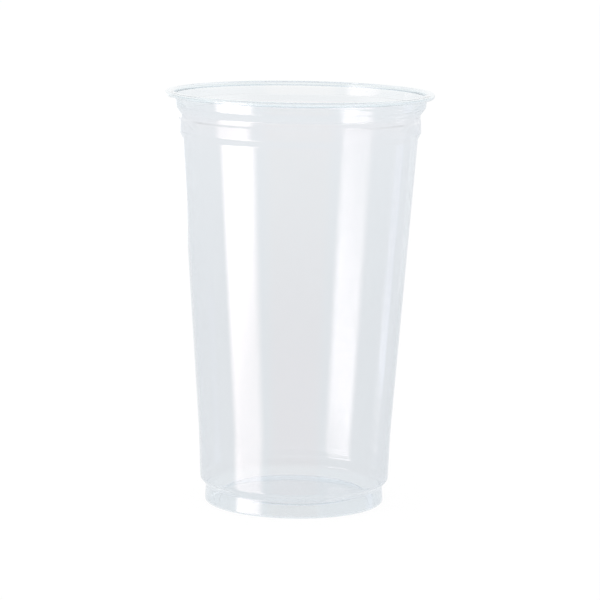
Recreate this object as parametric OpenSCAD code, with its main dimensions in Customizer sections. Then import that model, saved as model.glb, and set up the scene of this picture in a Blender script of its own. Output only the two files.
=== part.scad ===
// Cold-drink cup, formed in one piece from clear polypropylene sheet and rolled over at the rim.
// One wall line runs from the middle of the floor out to the foot, up the side and round the roll.
// It gets half the sheet's thickness on each side and is revolved about Z. The foot stands on Z = 0.

/* [Cup] */
// Outside diameter of the rolled rim
rim_d = 95; // [86:0.5:110]
// Height from the table to the top of the rolled rim
cup_h = 146.8; // [100:0.2:180]
// Outside diameter of the side wall at the lower end of its taper
base_d = 68.4; // [60:0.2:76]

/* [Sheet] */
// Thickness of the side wall and the band
wall_t = 0.4; // [0.3:0.05:0.6]
// Thickness of the collar and the rolled rim
rim_t = 0.5; // [0.35:0.05:0.6]
// Thickness of the floor and the foot
floor_t = 0.45; // [0.3:0.05:0.6]

/* [Rolled rim] */
// Height of the roll
roll_h = 1.8; // [1.6:0.1:2.6]
// How far the roll stands out from the collar
roll_w = 2.65; // [2.4:0.05:3.6]
// Gap between the cut edge of the sheet, under the roll, and the collar
roll_gap = 0.4; // [0.2:0.05:0.7]

/* [Collar] */
// Height of the collar under the roll
collar_h = 3.1; // [2:0.1:6]
// How far the collar narrows from its top to its foot, on the radius
collar_draft = 0.4; // [0:0.05:0.8]
// Height of the cone that leads from the collar in to the band
cone_h = 2.6; // [1.6:0.1:5]
// How far the cone narrows, on the radius
cone_w = 1.9; // [1.2:0.05:2.6]

/* [Stacking band] */
// Height of the band
band_h = 6.3; // [5:0.1:10]
// Height of the band's upper part, down to its ring line
band_top_h = 1.7; // [1:0.1:2.6]
// Height of the ring line's small slope
ring_h = 0.6; // [0.4:0.05:1]
// How far the ring line stands out from the upper part of the band
ring_w = 0.2; // [0.1:0.05:0.35]
// How far the band widens from its ring line down, which holds a stacked cup off this one
band_undercut = 0.15; // [0:0.05:0.4]
// Height of the step in under the band
step_h = 2.2; // [1.4:0.1:4]
// Depth of the step in under the band, on the radius
step_w = 1.1; // [0.6:0.05:1.6]

/* [Base] */
// Height from the shoulder to the start of the side wall's taper
skirt_h = 15.6; // [8:0.2:30]
// How far the skirt narrows down to the shoulder, on the radius
skirt_draft = 0.55; // [0.2:0.05:1]
// Height of the notch above the table
foot_h = 6.1; // [4:0.1:10]
// How far the foot widens from the notch down to the table, on the radius
foot_flare = 0.45; // [0:0.05:0.9]
// Height of the slope from the notch out to the shoulder
ledge_h = 2.3; // [1.6:0.1:4]
// Width of the slope from the notch out to the shoulder, on the radius
ledge_w = 2.15; // [1.2:0.05:3]

/* [Floor] */
// Height of the raised floor's underside above the table
floor_rise = 3.2; // [2:0.1:3.8]
// Width of the flat ring on which the cup stands
heel_w = 1.6; // [1:0.1:3]
// Width of the slope from that ring up to the raised floor
ramp_w = 5.2; // [3:0.1:8]

/* [Rounding] */
// Outside radius of the foot's lower corner
heel_r = 0.7; // [0.65:0.05:1.2]
// Radius of the corners at the notch, the step and the cone
corner_r = 0.8; // [0.5:0.05:1]
// Radius of the shoulder above the notch
shoulder_r = 1.6; // [1:0.1:2]
// Radius of the ring line's two edges
ring_r = 0.4; // [0.35:0.05:0.8]
// Radius of the raised floor's edge
ramp_r = 2; // [1:0.1:3]
// Radius that blends the skirt into the side wall's taper
blend_r = 200; // [50:10:300]

/* [Hidden] */
$fn = 180;

// Largest turn between two neighbouring stretches of a rounded corner, in degrees
arc_step = 11.25;
// Points of the wall line closer than this are one point
same_point = 0.001;

// Outside radii, from the rim down
rim_r = rim_d / 2;
collar_top_r = rim_r - roll_w;
collar_low_r = collar_top_r - collar_draft;
band_top_r = collar_low_r - cone_w;
ring_top_r = band_top_r + ring_w;
band_low_r = ring_top_r + band_undercut;
taper_top_r = band_low_r - step_w;
taper_low_r = base_d / 2;
edge_r = taper_low_r - skirt_draft;
notch_r = edge_r - ledge_w;
foot_r = notch_r + foot_flare;
ramp_low_r = foot_r - heel_r - heel_w;
ramp_top_r = ramp_low_r - ramp_w;

// Heights, from the rim down to the taper and from the table up to it
roll_z = cup_h - roll_h;
collar_z = roll_z - collar_h;
band_top_z = collar_z - cone_h;
ring_top_z = band_top_z - band_top_h;
ring_low_z = ring_top_z - ring_h;
band_low_z = band_top_z - band_h;
taper_top_z = band_low_z - step_h;
edge_z = foot_h + ledge_h;
taper_low_z = edge_z + skirt_h;

// The roll's two corners meet halfway up it, so it is a half round
roll_r = (roll_h - rim_t) / 2;

// Each station of the wall line is [radius, height, corner radius, sheet thickness],
// on the middle of the sheet
function side(outside_r, z, corner, t) = [outside_r - t / 2, z, corner, t];

function floor_line() = [
    [0, floor_rise + floor_t / 2, 0, floor_t],
    [ramp_top_r, floor_rise + floor_t / 2, ramp_r, floor_t],
    [ramp_low_r, floor_t / 2, corner_r, floor_t]
];

function foot_line() = [
    side(foot_r, floor_t / 2, heel_r - floor_t / 2, floor_t),
    side(notch_r, foot_h, corner_r, floor_t),
    side(edge_r, edge_z, shoulder_r, wall_t)
];

function taper_line() = [
    side(taper_low_r, taper_low_z, blend_r, wall_t),
    side(taper_top_r, taper_top_z, corner_r, wall_t)
];

function band_line() = [
    side(band_low_r, band_low_z, corner_r, wall_t),
    side(ring_top_r, ring_low_z, ring_r, wall_t),
    side(band_top_r, ring_top_z, ring_r, wall_t),
    side(band_top_r, band_top_z, corner_r, wall_t),
    side(collar_low_r, collar_z, corner_r, rim_t)
];

function roll_line() = [
    side(collar_top_r, cup_h - rim_t / 2, roll_r, rim_t),
    side(rim_r, cup_h - rim_t / 2, roll_r, rim_t),
    side(rim_r, roll_z + rim_t / 2, roll_r, rim_t),
    [collar_top_r + roll_gap, roll_z + rim_t / 2, 0, rim_t]
];

// Direction from a to b in degrees, the unit vector along it, and the one to its left
function heading(a, b) = atan2(b[1] - a[1], b[0] - a[0]);
function along(angle) = [cos(angle), sin(angle)];
function left(angle) = [-sin(angle), cos(angle)];

// Turn from one direction to another, between -180 and 180 degrees
function turn(from, to) = (to - from + 540) % 360 - 180;

// The wall line at one station, as a list of [point, direction, thickness] round its corner
function rounded(line, i) =
    let (
        from = heading(line[i - 1], line[i]),
        bend = turn(from, heading(line[i], line[i + 1])),
        r = line[i][2],
        way = sign(bend),
        start = [line[i][0], line[i][1]] - r * tan(abs(bend) / 2) * along(from),
        centre = start + way * r * left(from),
        steps = max(2, 2 * ceil(abs(bend) / arc_step / 2))
    )
    [for (k = [0:steps]) let (angle = from + bend * k / steps)
        [centre - way * r * left(angle), angle, line[i][3]]];

// An end of the wall line, facing along its first or last stretch
function line_end(line, i, angle) = [[line[i][0], line[i][1]], angle, line[i][3]];

function smooth_line(line) =
    let (last = len(line) - 1)
    concat(
        [line_end(line, 0, heading(line[0], line[1]))],
        [for (i = [1:last - 1]) each rounded(line, i)],
        [line_end(line, last, heading(line[last - 1], line[last]))]
    );

// The same list with no point twice, as where two corners meet
function distinct(points) =
    [for (i = [0:len(points) - 1])
        if (i == 0 || norm(points[i][0] - points[i - 1][0]) > same_point) points[i]];

// Closed outline of the sheet: its inside face, then its outside face back to the start
function sheet(points) =
    let (last = len(points) - 1)
    concat(
        [for (p = points) p[0] + p[2] / 2 * left(p[1])],
        [for (i = [last:-1:0]) points[i][0] - points[i][2] / 2 * left(points[i][1])]
    );

wall_line = concat(floor_line(), foot_line(), taper_line(), band_line(), roll_line());

module cup() {
    color([0.88, 0.91, 0.93])
        rotate_extrude()
            polygon(sheet(distinct(smooth_line(wall_line))));
}

cup();
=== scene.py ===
import math

import bmesh
import bpy
from mathutils import Matrix, Vector


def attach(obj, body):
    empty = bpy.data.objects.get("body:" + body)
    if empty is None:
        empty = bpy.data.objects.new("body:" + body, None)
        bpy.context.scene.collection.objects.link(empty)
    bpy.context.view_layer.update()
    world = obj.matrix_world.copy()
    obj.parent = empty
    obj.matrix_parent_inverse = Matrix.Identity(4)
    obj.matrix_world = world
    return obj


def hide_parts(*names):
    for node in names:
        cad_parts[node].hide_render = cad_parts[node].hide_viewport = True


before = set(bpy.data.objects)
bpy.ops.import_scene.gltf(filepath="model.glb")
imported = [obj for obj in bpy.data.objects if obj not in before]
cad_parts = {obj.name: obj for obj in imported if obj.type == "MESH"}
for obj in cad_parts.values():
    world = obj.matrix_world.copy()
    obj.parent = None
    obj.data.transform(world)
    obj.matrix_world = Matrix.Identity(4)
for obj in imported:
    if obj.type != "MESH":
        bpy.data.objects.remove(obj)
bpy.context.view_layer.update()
millimetre = 0.001
white = (1.0, 1.0, 1.0, 1.0)


# Camera: a long lens a metre away, looking a little down into the mouth
camera = {
    "distance": 1.0462,      # metres in front of the cup's axis
    "height": 0.2344,        # metres above the table
    "pitchDown": 8.801,      # degrees
    "turn": 0.062,           # degrees, to the right
    "roll": 0.93,            # degrees, the cup leans a little in the picture
    "lens": 178.5,           # millimetres
    "sensorWidth": 36.0,     # millimetres
    "farthest": 50.0,        # metres, past the table's far edge
}


def makeCamera():
    data = bpy.data.cameras.new("camera")
    data.lens = camera["lens"]
    data.sensor_width = camera["sensorWidth"]
    data.clip_end = camera["farthest"]
    eye = bpy.data.objects.new("camera", data)
    bpy.context.scene.collection.objects.link(eye)
    eye.matrix_world = (
        Matrix.Translation((0.0, -camera["distance"], camera["height"]))
        @ Matrix.Rotation(math.radians(-camera["turn"]), 4, "Z")
        @ Matrix.Rotation(math.radians(90.0 - camera["pitchDown"]), 4, "X")
        @ Matrix.Rotation(math.radians(camera["roll"]), 4, "Z")
    )
    bpy.context.scene.camera = eye
    print("camera ready")


def linear(code):
    # One sRGB hex value as linear red, green, blue and alpha
    parts = [int(code[i:i + 2], 16) / 255.0 for i in (1, 3, 5)]
    bent = [p / 12.92 if p <= 0.04045 else ((p + 0.055) / 1.055) ** 2.4 for p in parts]
    return (*bent, 1.0)


def newObject(name, bm):
    mesh = bpy.data.meshes.new(name)
    bm.to_mesh(mesh)
    bm.free()
    made = bpy.data.objects.new(name, mesh)
    bpy.context.scene.collection.objects.link(made)
    return made


def newMaterial(name):
    material = bpy.data.materials.new(name)
    material.use_nodes = True
    material.node_tree.nodes.clear()
    return material


def addNode(tree, kind, inputs=None, **settings):
    # inputs: socket name or number to a value, or to the output that feeds it
    node = tree.nodes.new(kind)
    for name, value in settings.items():
        setattr(node, name, value)
    for name, value in (inputs or {}).items():
        if isinstance(value, bpy.types.NodeSocket):
            tree.links.new(value, node.inputs[name])
        else:
            node.inputs[name].default_value = value
    return node


def calculate(tree, operation, *values):
    return addNode(
        tree, "ShaderNodeMath", dict(enumerate(values)), operation=operation).outputs["Value"]


def fade(tree, value, start, end, first=0.0, last=1.0):
    # Smoothly from first to last while the value goes from start to end
    return addNode(
        tree, "ShaderNodeMapRange",
        {"Value": value, "From Min": start, "From Max": end, "To Min": first, "To Max": last},
        interpolation_type="SMOOTHSTEP").outputs["Result"]


def mixed(tree, share, first, second):
    # Two colours mixed. The node's colour sockets are inputs 6 and 7 and output 2
    return addNode(
        tree, "ShaderNodeMix", {"Factor": share, 6: first, 7: second},
        data_type="RGBA").outputs[2]


# The cup's sheet, in millimetres, as the solid has it
cup = {
    "rimDiameter": 95.0,
    "height": 146.8,
    "baseDiameter": 68.4,    # where the taper ends, above the foot
    "wall": 0.4,             # sheet at the side
    "rimWall": 0.5,          # sheet at the collar and the roll
    "floorWall": 0.45,       # sheet at the foot and the floor
    "rollHeight": 1.8,
    "rollWidth": 2.65,
    "rollGap": 0.4,
    "collarHeight": 3.1,
    "collarDraft": 0.4,
    "coneHeight": 2.6,
    "coneWidth": 1.9,
    "bandHeight": 6.3,
    "bandTopHeight": 1.7,
    "ringHeight": 0.6,
    "ringWidth": 0.2,
    "bandUndercut": 0.15,
    "stepHeight": 2.2,
    "stepWidth": 1.1,
    "skirtHeight": 15.6,
    "skirtDraft": 0.55,
    "footHeight": 6.1,
    "footFlare": 0.45,
    "ledgeHeight": 2.3,
    "ledgeWidth": 2.15,
    "floorRise": 3.2,
    "heelWidth": 1.6,
    "rampWidth": 5.2,
    "heelRadius": 0.7,
    "cornerRadius": 0.8,
    "shoulderRadius": 1.6,
    "ringRadius": 0.4,
    "rampRadius": 2.0,
    "blendRadius": 200.0,
    "roundSteps": 300,       # round the axis
    "arcStep": 9.0,          # degrees along a rounded corner
    "rollArcStep": 5.0,      # and at the roll
    "guard": 0.3,            # length of the short stretches beside a corner
    "samePoint": 0.002,      # points nearer than this are one
}


def wallStations():
    # Middle of the sheet, from the floor's centre to the cut edge under the roll:
    # radius, height, corner radius and sheet thickness of each corner
    c = cup
    rim = c["rimDiameter"] / 2
    collarTop = rim - c["rollWidth"]
    collarLow = collarTop - c["collarDraft"]
    bandTop = collarLow - c["coneWidth"]
    ring = bandTop + c["ringWidth"]
    bandLow = ring + c["bandUndercut"]
    taperTop = bandLow - c["stepWidth"]
    taperLow = c["baseDiameter"] / 2
    edge = taperLow - c["skirtDraft"]
    notch = edge - c["ledgeWidth"]
    foot = notch + c["footFlare"]
    rampLow = foot - c["heelRadius"] - c["heelWidth"]
    rollLow = c["height"] - c["rollHeight"]
    collarFoot = rollLow - c["collarHeight"]
    bandTopZ = collarFoot - c["coneHeight"]
    ringTopZ = bandTopZ - c["bandTopHeight"]
    bandLowZ = bandTopZ - c["bandHeight"]
    edgeZ = c["footHeight"] + c["ledgeHeight"]
    wall, rimWall, base = c["wall"], c["rimWall"], c["floorWall"]
    roll = (c["rollHeight"] - rimWall) / 2
    corner = c["cornerRadius"]
    return [
        (0.0, c["floorRise"] + base / 2, 0.0, base),
        (rampLow - c["rampWidth"], c["floorRise"] + base / 2, c["rampRadius"], base),
        (rampLow, base / 2, corner, base),
        (foot - base / 2, base / 2, c["heelRadius"] - base / 2, base),
        (notch - base / 2, c["footHeight"], corner, base),
        (edge - wall / 2, edgeZ, c["shoulderRadius"], wall),
        (taperLow - wall / 2, edgeZ + c["skirtHeight"], c["blendRadius"], wall),
        (taperTop - wall / 2, bandLowZ - c["stepHeight"], corner, wall),
        (bandLow - wall / 2, bandLowZ, corner, wall),
        (ring - wall / 2, ringTopZ - c["ringHeight"], c["ringRadius"], wall),
        (bandTop - wall / 2, ringTopZ, c["ringRadius"], wall),
        (bandTop - wall / 2, bandTopZ, corner, wall),
        (collarLow - rimWall / 2, collarFoot, corner, rimWall),
        (collarTop - rimWall / 2, c["height"] - rimWall / 2, roll, rimWall),
        (rim - rimWall / 2, c["height"] - rimWall / 2, roll, rimWall),
        (rim - rimWall / 2, rollLow + rimWall / 2, roll, rimWall),
        (collarTop + c["rollGap"], rollLow + rimWall / 2, 0.0, rimWall),
    ]


def sheetAt(height, stations):
    # Sheet thickness at a height of the wall line, both in millimetres
    side = stations[3:14]    # the part of the line that rises, from the heel to the roll's top
    for low, high in zip(side, side[1:]):
        if height <= high[1]:
            share = max(0.0, (height - low[1]) / (high[1] - low[1]))
            return low[3] + share * (high[3] - low[3])
    return side[-1][3]


def wallLine(stations):
    # The wall line as one string of edges, each corner rounded
    bm = bmesh.new()
    corners = [bm.verts.new(Vector((s[0], 0.0, s[1])) * millimetre) for s in stations]
    for low, high in zip(corners, corners[1:]):
        bm.edges.new((low, high))
    turns = []
    for i in range(1, len(corners) - 1):
        before = corners[i].co - corners[i - 1].co
        after = corners[i + 1].co - corners[i].co
        rolled = stations[i][1] > cup["height"] - cup["rollHeight"]
        turns.append((
            corners[i], before.angle(after), stations[i][2] * millimetre,
            cup["rollArcStep"] if rolled else cup["arcStep"]))
    for corner, angle, radius, arcStep in turns:
        bmesh.ops.bevel(
            bm, geom=[corner], offset=radius * math.tan(angle / 2), offset_type="OFFSET",
            segments=max(2, math.ceil(math.degrees(angle) / arcStep)),
            profile=0.5, affect="VERTICES", material=-1)
    bmesh.ops.remove_doubles(bm, verts=bm.verts, dist=cup["samePoint"] * millimetre)
    # A short stretch at each end of a straight one keeps a corner's shading to itself
    guard = cup["guard"] * millimetre
    for edge in list(bm.edges):
        length = edge.calc_length()
        if length > 3 * guard:
            low, high = edge.verts
            middle = bmesh.utils.edge_split(edge, low, guard / length)[1]
            onward = next(e for e in middle.link_edges if high in e.verts)
            bmesh.utils.edge_split(onward, high, guard / (length - guard))
    return bm


# Polypropylene, thermoformed from extruded sheet: clear with a trace of haze, cool in tone,
# glossy on both faces, with the faint waviness that the sheet keeps from being drawn down
polypropylene = {
    # What one wall lets through, at these millimetres up the cup: paler at the foot and towards the
    # top. The palest stop, at the roll, is painted light: it stands in for the light that haze
    # scatters inside the curl, and keeps the many-layered roll pale
    "tintsWithPaintedRollLight": [
        (4.0, "#F1F4F6"), (6.0, "#EFF1F3"), (60.0, "#EFF1F3"), (125.0, "#F2F4F6"),
        (139.0, "#F4F5F7"), (140.0, "#F2F5F7"), (144.4, "#F2F5F7"), (145.0, "#F7FAFB")],
    "roughness": 0.015,
    "ior": 1.49,
    "waveWidth": 14.0,       # millimetres round the cup
    "waveStretch": 0.35,     # share of that many waves up the wall
    "waveHeight": 0.012,     # millimetres
    "waveDetail": 1.0,       # finer waves over the long ones
    "waveRoughness": 0.4,    # and how strong they are
}


def clearPolypropylene():
    p = polypropylene
    material = newMaterial("polypropyleneThermoformed")
    tree = material.node_tree
    place = addNode(tree, "ShaderNodeTexCoord").outputs["Object"]
    # Long soft waves up the wall, from drawing the hot sheet down
    drawn = addNode(
        tree, "ShaderNodeMapping",
        {"Vector": place, "Scale": (1.0, 1.0, p["waveStretch"])}).outputs["Vector"]
    waves = addNode(
        tree, "ShaderNodeTexNoise",
        {"Vector": drawn, "Scale": 1.0 / (p["waveWidth"] * millimetre),
         "Detail": p["waveDetail"], "Roughness": p["waveRoughness"]})
    bump = addNode(
        tree, "ShaderNodeBump",
        {"Height": waves.outputs["Fac"], "Strength": 1.0,
         "Distance": p["waveHeight"] * millimetre})
    height = addNode(tree, "ShaderNodeSeparateXYZ", {"Vector": place}).outputs["Z"]
    # The wall's tint by height, with painted light at the roll, where the paler stop stands in for
    # light scattered in the curl
    tintWithPaintedRollLight = addNode(
        tree, "ShaderNodeValToRGB",
        {"Fac": calculate(tree, "DIVIDE", height, cup["height"] * millimetre)})
    stops = tintWithPaintedRollLight.color_ramp.elements
    while len(stops) < len(p["tintsWithPaintedRollLight"]):
        stops.new(0.5)       # each gets its place below
    for stop, (up, code) in zip(stops, p["tintsWithPaintedRollLight"]):
        stop.position = up / cup["height"]
        stop.color = linear(code)
    wall = addNode(
        tree, "ShaderNodeBsdfPrincipled",
        {"Base Color": tintWithPaintedRollLight.outputs["Color"], "Roughness": p["roughness"], "IOR": p["ior"],
         "Transmission Weight": 1.0, "Normal": bump.outputs["Normal"]})
    addNode(tree, "ShaderNodeOutputMaterial", {"Surface": wall.outputs["BSDF"]})
    return material


def makeCup():
    stations = wallStations()
    bm = wallLine(stations)
    bmesh.ops.spin(
        bm, geom=list(bm.verts) + list(bm.edges), cent=(0.0, 0.0, 0.0), axis=(0.0, 0.0, 1.0),
        angle=2 * math.pi, steps=cup["roundSteps"], use_merge=True, use_duplicate=False)
    bmesh.ops.remove_doubles(bm, verts=bm.verts, dist=cup["samePoint"] * millimetre)
    bmesh.ops.recalc_face_normals(bm, faces=bm.faces)
    for face in bm.faces:
        face.smooth = True
    piece = newObject("clearCup", bm)
    # The sheet's thickness goes on both sides of the line, thinner where the vertex group says
    thickest = max(s[3] for s in stations)
    group = piece.vertex_groups.new(name="sheet")
    for vertex in piece.data.vertices:
        share = sheetAt(vertex.co.z / millimetre, stations) / thickest
        group.add([vertex.index], share, "REPLACE")
    shell = piece.modifiers.new("sheet", "SOLIDIFY")
    shell.thickness = thickest * millimetre
    shell.offset = 0.0
    shell.use_even_offset = True
    shell.vertex_group = group.name
    piece.data.materials.append(clearPolypropylene())
    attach(piece, "root")
    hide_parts("cup")
    print("cup:", len(piece.data.vertices), "points in the wall's middle surface")


# How light is followed. A ray can run a long way inside the sheet, as at the roll and the heel
lightPaths = {
    "bounces": 1024,
    "clearLayers": 64,          # see-through cards and table that a ray may pass
    "softboxSurfaces": 8,       # surfaces that it may meet and still find a softbox
    "lostAround": (4.2, 8.0),   # surfaces met where it begins to be lost in haze, and is lost
    "lostBelow": (7.5, 13.0),   # the same for rays that end on the table
    "haze": "#F4F8FB",          # the even light that they find then
}


def afterGloss(tree):
    # 1 for rays that a glossy surface has turned away,
    # 0 for what is seen directly or through the cup
    path = addNode(tree, "ShaderNodeLightPath")
    return calculate(tree, "GREATER_THAN", path.outputs["Glossy Depth"], 0.5)


def surfacesMet(tree):
    return addNode(tree, "ShaderNodeLightPath").outputs["Ray Depth"]


# Studio: a white table and background, a softbox at the left front, and paler cards behind
table = {
    "halfWidth": 6.0,        # metres
    "drop": 0.05,            # millimetres under the foot, so the two faces don't fight
    "ownWhite": 0.965,       # white that the table shows whatever falls on it
    "whiteBehind": 1.3,      # and when seen through more than two walls
    "behindWalls": (5, 8),   # surfaces met on the way
    "colour": "#3C3C3C",     # what it shows of the light, and of the cup's shadow
    "clearFrom": 33.0,       # millimetres from the axis, where the gloss begins to look past it
}


def makeTable():
    bm = bmesh.new()
    bmesh.ops.create_grid(
        bm, x_segments=1, y_segments=1, size=table["halfWidth"],
        matrix=Matrix.Translation((0.0, 0.0, -table["drop"] * millimetre)))
    top = newObject("table", bm)
    material = newMaterial("whiteTable")
    material.cycles.emission_sampling = "NONE"
    tree = material.node_tree
    lit = addNode(tree, "ShaderNodeBsdfDiffuse", {"Color": linear(table["colour"])})
    ownWhite = fade(
        tree, surfacesMet(tree), *table["behindWalls"], table["ownWhite"], table["whiteBehind"])
    own = addNode(tree, "ShaderNodeEmission", {"Strength": ownWhite})
    both = addNode(
        tree, "ShaderNodeAddShader", {0: lit.outputs["BSDF"], 1: own.outputs["Emission"]})
    haze = addNode(tree, "ShaderNodeEmission", {"Color": linear(lightPaths["haze"])})
    seen = addNode(
        tree, "ShaderNodeMixShader",
        {0: fade(tree, surfacesMet(tree), *lightPaths["lostBelow"]), 1: both.outputs["Shader"],
         2: haze.outputs["Emission"]})
    # Away from the foot the gloss looks past the table, to the softboxes that reach below it
    place = addNode(tree, "ShaderNodeTexCoord").outputs["Object"]
    reach = addNode(tree, "ShaderNodeVectorMath", {0: place}, operation="LENGTH").outputs["Value"]
    away = calculate(tree, "GREATER_THAN", reach, table["clearFrom"] * millimetre)
    clear = addNode(tree, "ShaderNodeBsdfTransparent")
    shown = addNode(
        tree, "ShaderNodeMixShader",
        {0: calculate(tree, "MULTIPLY", afterGloss(tree), away), 1: seen.outputs["Shader"],
         2: clear.outputs["BSDF"]})
    addNode(tree, "ShaderNodeOutputMaterial", {"Surface": shown.outputs["Shader"]})
    top.data.materials.append(material)
    print("table ready")


# What the gloss finds round the cup: each change runs between two values of how squarely
# the direction points to the front, behind, down or up
surround = {
    "sideLeft": "#F1F3F5",   # below the horizon
    "sideRight": "#ECEEF1",
    "across": (-0.3, 0.3),
    "frontLow": "#FFDDDD",   # on the camera's side, low down
    "frontHigh": "#FFF0E6",  # and higher up
    "frontUp": (-0.33, -0.245),
    "front": (0.78, 0.90),
    "roomSide": "#3C3E40",   # the dim room above the horizon, all round
    "roomFront": "#F3E1D7",  # and on the camera's side
    "roomUp": (0.04, 0.14),
    "wallsUp": (0.22, 0.45),  # white higher up
    "overhead": "#A4A6A9",   # and dim again above the cup
    "overheadUp": (0.75, 0.88),
    "behind": (0.3, 0.7),    # the white background, above the horizon
    "behindUp": (-0.03, 0.03),
}


def makeSurround():
    s = surround
    world = bpy.data.worlds.new("studio")
    bpy.context.scene.world = world
    world.use_nodes = True
    tree = world.node_tree
    tree.nodes.clear()
    direction = addNode(tree, "ShaderNodeTexCoord").outputs["Generated"]
    parts = addNode(tree, "ShaderNodeSeparateXYZ", {"Vector": direction}).outputs
    back, up = parts["Y"], parts["Z"]
    ahead = calculate(tree, "MULTIPLY", back, -1.0)
    squarely = fade(tree, ahead, *s["front"])
    front = mixed(
        tree, fade(tree, up, *s["frontUp"]), linear(s["frontLow"]), linear(s["frontHigh"]))
    side = mixed(
        tree, fade(tree, parts["X"], *s["across"]), linear(s["sideLeft"]), linear(s["sideRight"]))
    low = mixed(tree, squarely, side, front)
    dim = mixed(tree, squarely, linear(s["roomSide"]), linear(s["roomFront"]))
    room = mixed(tree, fade(tree, up, *s["roomUp"]), low, dim)
    room = mixed(tree, fade(tree, up, *s["wallsUp"]), room, white)
    room = mixed(tree, fade(tree, up, *s["overheadUp"]), room, linear(s["overhead"]))
    backdrop = calculate(
        tree, "MULTIPLY", fade(tree, back, *s["behind"]), fade(tree, up, *s["behindUp"]))
    found = mixed(tree, afterGloss(tree), white, mixed(tree, backdrop, room, white))
    lost = fade(tree, surfacesMet(tree), *lightPaths["lostAround"])
    light = addNode(
        tree, "ShaderNodeBackground",
        {"Color": mixed(tree, lost, found, linear(lightPaths["haze"]))})
    addNode(tree, "ShaderNodeOutputWorld", {"Surface": light.outputs["Background"]})
    print("surround ready")


# A softbox and two cards stand round the cup, and reach below the table's level.
# Azimuths are degrees round the cup from the camera's side, to the camera's left. The rest is
# in metres: ends and hot spots up the card from the table's level, soft edges, and distances.
# The lean is in degrees, and radiances are the light's strength.
softboxes = {
    "softboxLeft": {
        "azimuth": 59.7, "distance": 0.45, "lean": 15.4, "width": 0.268, "low": -0.32, "high": 0.19,
        "colour": "#FFEFEC", "radiance": 3.35, "hotRadiance": 2.75, "hotAt": 0.02, "hotReach": 0.13,
        "soft": 0.09, "softLow": 0.02, "softHigh": 0.17},
    "cardRight": {
        "azimuth": -114.5, "distance": 1.0, "lean": 0.0, "width": 0.26, "low": -0.215, "high": 0.0,
        "colour": "#F0F3FF", "radiance": 1.08, "hotRadiance": 0.3, "hotAt": -0.19, "hotReach": 0.08,
        "soft": 0.08, "softLow": 0.04, "softHigh": 0.06},
    "cardLeftBack": {
        "azimuth": 165.0, "distance": 1.0, "lean": 0.0, "width": 0.5, "low": -0.05, "high": 0.08,
        "colour": "#FFFFFF", "radiance": 1.25, "hotRadiance": 0.0, "hotAt": 0.0, "hotReach": 0.1,
        "soft": 0.08, "softLow": 0.03, "softHigh": 0.03},
}


def makeSoftbox(name, box):
    # From where the cloth begins to where it is full, at its low end, its high end and its sides
    lowEnd = box["low"] - box["softLow"] / 2, box["low"] + box["softLow"] / 2
    highEnd = box["high"] + box["softHigh"] / 2, box["high"] - box["softHigh"] / 2
    sideEnd = (box["width"] + box["soft"]) / 2, (box["width"] - box["soft"]) / 2
    # The grid is a square metre, brought to the cloth's width and height
    bm = bmesh.new()
    bmesh.ops.create_grid(
        bm, x_segments=1, y_segments=1, size=0.5,
        matrix=Matrix.Translation((0.0, (lowEnd[0] + highEnd[0]) / 2, 0.0))
        @ Matrix.Diagonal((2 * sideEnd[0], highEnd[0] - lowEnd[0], 1.0, 1.0)))
    card = newObject(name, bm)
    card.matrix_world = (
        Matrix.Rotation(math.radians(-box["azimuth"]), 4, "Z")
        @ Matrix.Translation((0.0, -box["distance"], 0.0))
        @ Matrix.Rotation(math.radians(90.0), 4, "X")
        @ Matrix.Rotation(math.radians(box["lean"]), 4, "Z")
    )
    material = newMaterial(name)
    material.cycles.emission_sampling = "NONE"
    tree = material.node_tree
    # The front cloth is brightest before the lamp, and fades towards its edges
    place = addNode(tree, "ShaderNodeTexCoord").outputs["Object"]
    where = addNode(tree, "ShaderNodeSeparateXYZ", {"Vector": place}).outputs
    across = fade(tree, calculate(tree, "ABSOLUTE", where["X"]), *sideEnd)
    upwards = calculate(
        tree, "MULTIPLY", fade(tree, where["Y"], *lowEnd), fade(tree, where["Y"], *highEnd))
    cloth = calculate(tree, "MULTIPLY", across, upwards)
    fromLamp = calculate(tree, "ABSOLUTE", calculate(tree, "SUBTRACT", where["Y"], box["hotAt"]))
    strength = fade(
        tree, fromLamp, box["hotReach"], 0.0,
        box["radiance"], box["radiance"] + box["hotRadiance"])
    glow = addNode(
        tree, "ShaderNodeEmission", {"Color": linear(box["colour"]), "Strength": strength})
    clear = addNode(tree, "ShaderNodeBsdfTransparent")
    # It lights the table and shows in the gloss, but not directly or through the cup.
    # Rays that have run on inside the sheet don't find it, for haze would have spread it
    path = addNode(tree, "ShaderNodeLightPath")
    lights = calculate(tree, "MAXIMUM", afterGloss(tree), path.outputs["Is Diffuse Ray"])
    early = calculate(tree, "LESS_THAN", surfacesMet(tree), lightPaths["softboxSurfaces"] + 0.5)
    share = calculate(tree, "MULTIPLY", calculate(tree, "MULTIPLY", lights, early), cloth)
    shown = addNode(
        tree, "ShaderNodeMixShader",
        {0: share, 1: clear.outputs["BSDF"], 2: glow.outputs["Emission"]})
    addNode(tree, "ShaderNodeOutputMaterial", {"Surface": shown.outputs["Shader"]})
    card.data.materials.append(material)
    print(name, "ready")


def setUpRender():
    scene = bpy.context.scene
    scene.view_settings.view_transform = "Standard"
    scene.cycles.max_bounces = lightPaths["bounces"]
    scene.cycles.transmission_bounces = lightPaths["bounces"]
    scene.cycles.glossy_bounces = lightPaths["bounces"]
    scene.cycles.transparent_max_bounces = lightPaths["clearLayers"]


makeCamera()
makeCup()
makeTable()
makeSurround()
for boxName, boxSettings in softboxes.items():
    makeSoftbox(boxName, boxSettings)
setUpRender()
